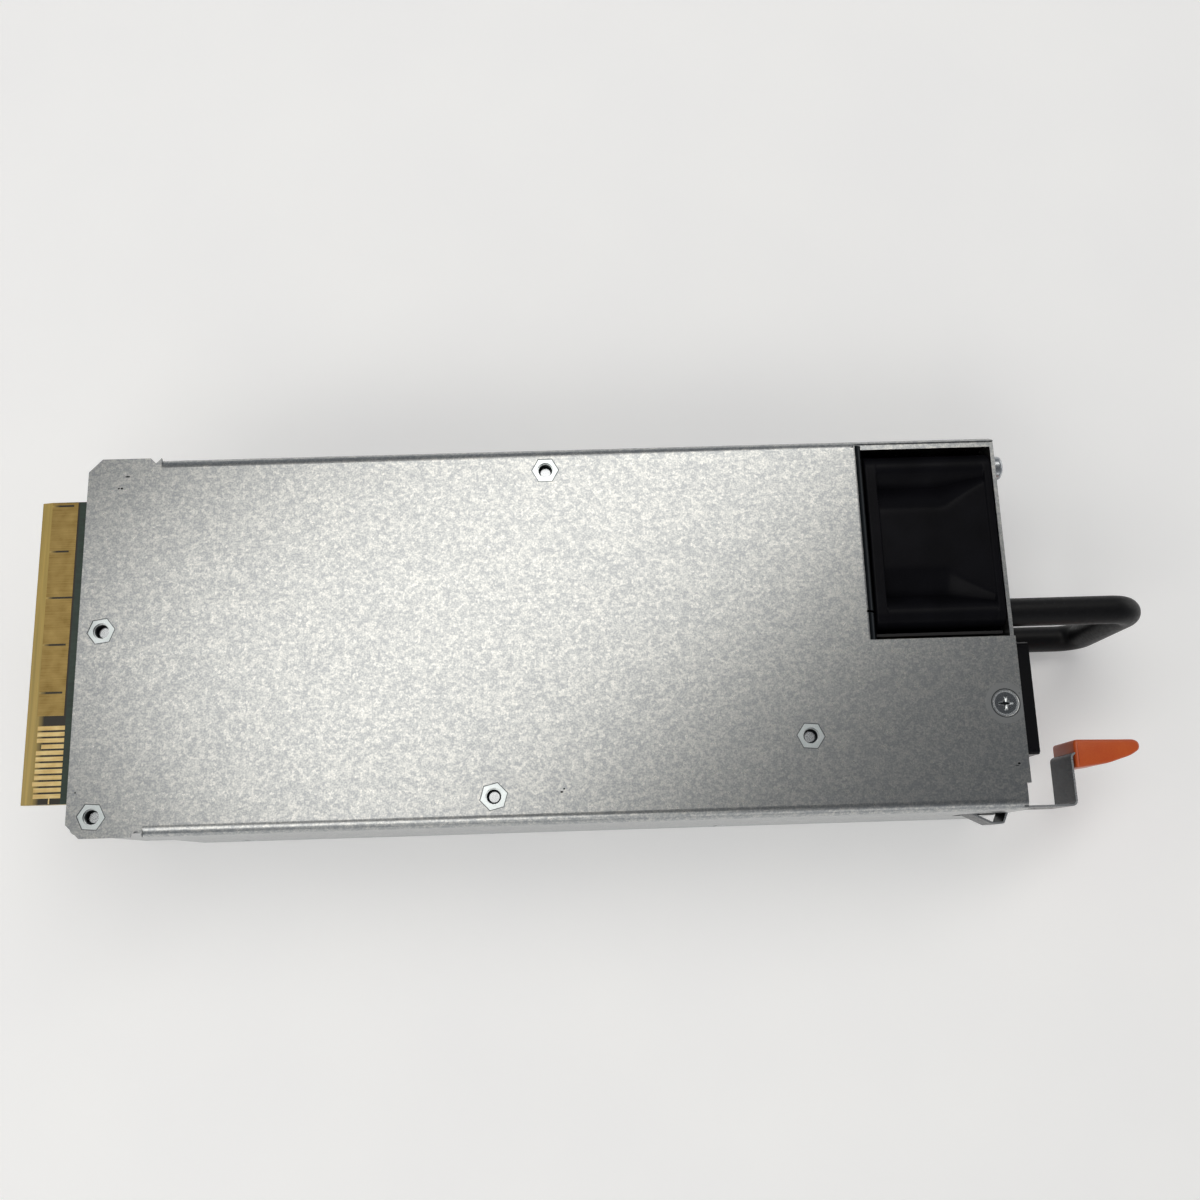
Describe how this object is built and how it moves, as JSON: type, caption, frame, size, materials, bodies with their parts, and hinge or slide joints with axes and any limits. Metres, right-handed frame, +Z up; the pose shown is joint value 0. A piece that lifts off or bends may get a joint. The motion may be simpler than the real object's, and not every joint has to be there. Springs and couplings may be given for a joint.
{
  "type": "server power supply",
  "caption": "Slim hot swap server power supply: galvanised case, card edge at one end, fan, mains inlet, loop handle and release latch at the other",
  "frame": {"origin": "centre of the case's rest face, which is the outer face of the label side cover", "axes": "+X to the rear end with the handle, fan and inlet; +Z up through the pan's floor; +Y to the fan's side"},
  "size_m": [0.2352, 0.0814, 0.04],
  "materials": {
    "galvanised_steel": "satin",
    "zinc_plated_screw": "bright",
    "spring_steel": "satin",
    "black_handle_coat": "satin",
    "black_moulding": "fine",
    "orange_moulding": "moulded",
    "plain_label": "matte",
    "insulating_film": "frosted",
    "board_laminate": "solder_mask",
    "gold_plating": "thin",
    "copper": "bare",
    "bare_aluminium": "extruded",
    "capacitor_sleeve": "shrunk",
    "ferrite": "sintered",
    "winding_tape": "taped",
    "film_capacitor_case": "moulded",
    "disc_coating": "dipped",
    "relay_case": "moulded",
    "device_epoxy": "moulded",
    "thermal_pad": "soft",
    "fuse_body": "glazed",
    "magnet": "bonded",
    "bearing_steel": "ground",
    "clear_acrylic": "clear",
    "white_moulding": "moulded",
    "lead_sleeve": "matte"
  },
  "bodies": {
    "case": {"chassis_pan": "galvanised_steel", "cover": "galvanised_steel", "blank_label": "plain_label", "insulator_sheet": "insulating_film", "standoffs": "zinc_plated_screw", "board_screws": "zinc_plated_screw", "tie_screw": "zinc_plated_screw", "cover_screws": "zinc_plated_screw", "fan_screws": "zinc_plated_screw", "handle": "black_handle_coat", "handle_screws": "zinc_plated_screw", "inlet_housing": "black_moulding", "inlet_pins": "bearing_steel", "inlet_leads": "lead_sleeve", "latch_root": "spring_steel", "latch_rivets": "bare_aluminium", "status_led": "white_moulding", "status_light_pipe": "clear_acrylic", "fan_frame": "black_moulding", "fan_bearings": "bearing_steel", "fan_stator": "bearing_steel", "fan_coils": "copper", "fan_driver_board": "board_laminate", "fan_header": "white_moulding", "fan_plug": "white_moulding", "fan_lead": "lead_sleeve", "air_baffle": "black_moulding", "main_board": "board_laminate", "power_pads": "gold_plating", "signal_fingers": "gold_plating", "bulk_capacitors": "capacitor_sleeve", "primary_heatsink": "bare_aluminium", "thermal_pads": "thermal_pad", "primary_transistors": "device_epoxy", "bridge_rectifier": "device_epoxy", "boost_choke_core": "ferrite", "boost_choke_winding": "copper", "filter_chokes": "ferrite", "filter_capacitors": "film_capacitor_case", "disc_capacitors": "disc_coating", "fuse": "fuse_body", "inrush_relay": "relay_case", "transformer_core": "ferrite", "transformer_windings": "winding_tape", "resonant_inductor": "winding_tape", "standby_transformer": "winding_tape", "output_heatsink": "bare_aluminium", "output_rectifiers": "device_epoxy", "output_capacitors": "capacitor_sleeve", "output_busbars": "copper", "control_board": "board_laminate", "control_chips": "device_epoxy"},
    "fan_rotor": {"fan_impeller": "black_moulding", "fan_magnet_ring": "magnet", "fan_shaft": "bearing_steel"},
    "release_latch": {"latch_strip": "spring_steel", "latch_tab": "orange_moulding"}
  },
  "joints": [
    {"name": "fan_spin", "type": "hinge", "parent": "case", "child": "fan_rotor", "pos_m": [0.082, 0.0175, 0.02], "axis": [1, 0, 0], "continuous": true},
    {"name": "latch_flex", "type": "hinge", "parent": "case", "child": "release_latch", "pos_m": [0.056, -0.0384, 0.0205], "axis": [0, 0, 1], "range_deg": [0, 4], "stiffness_Nm_per_rad": 11, "springref_deg": -0.57}
  ]
}
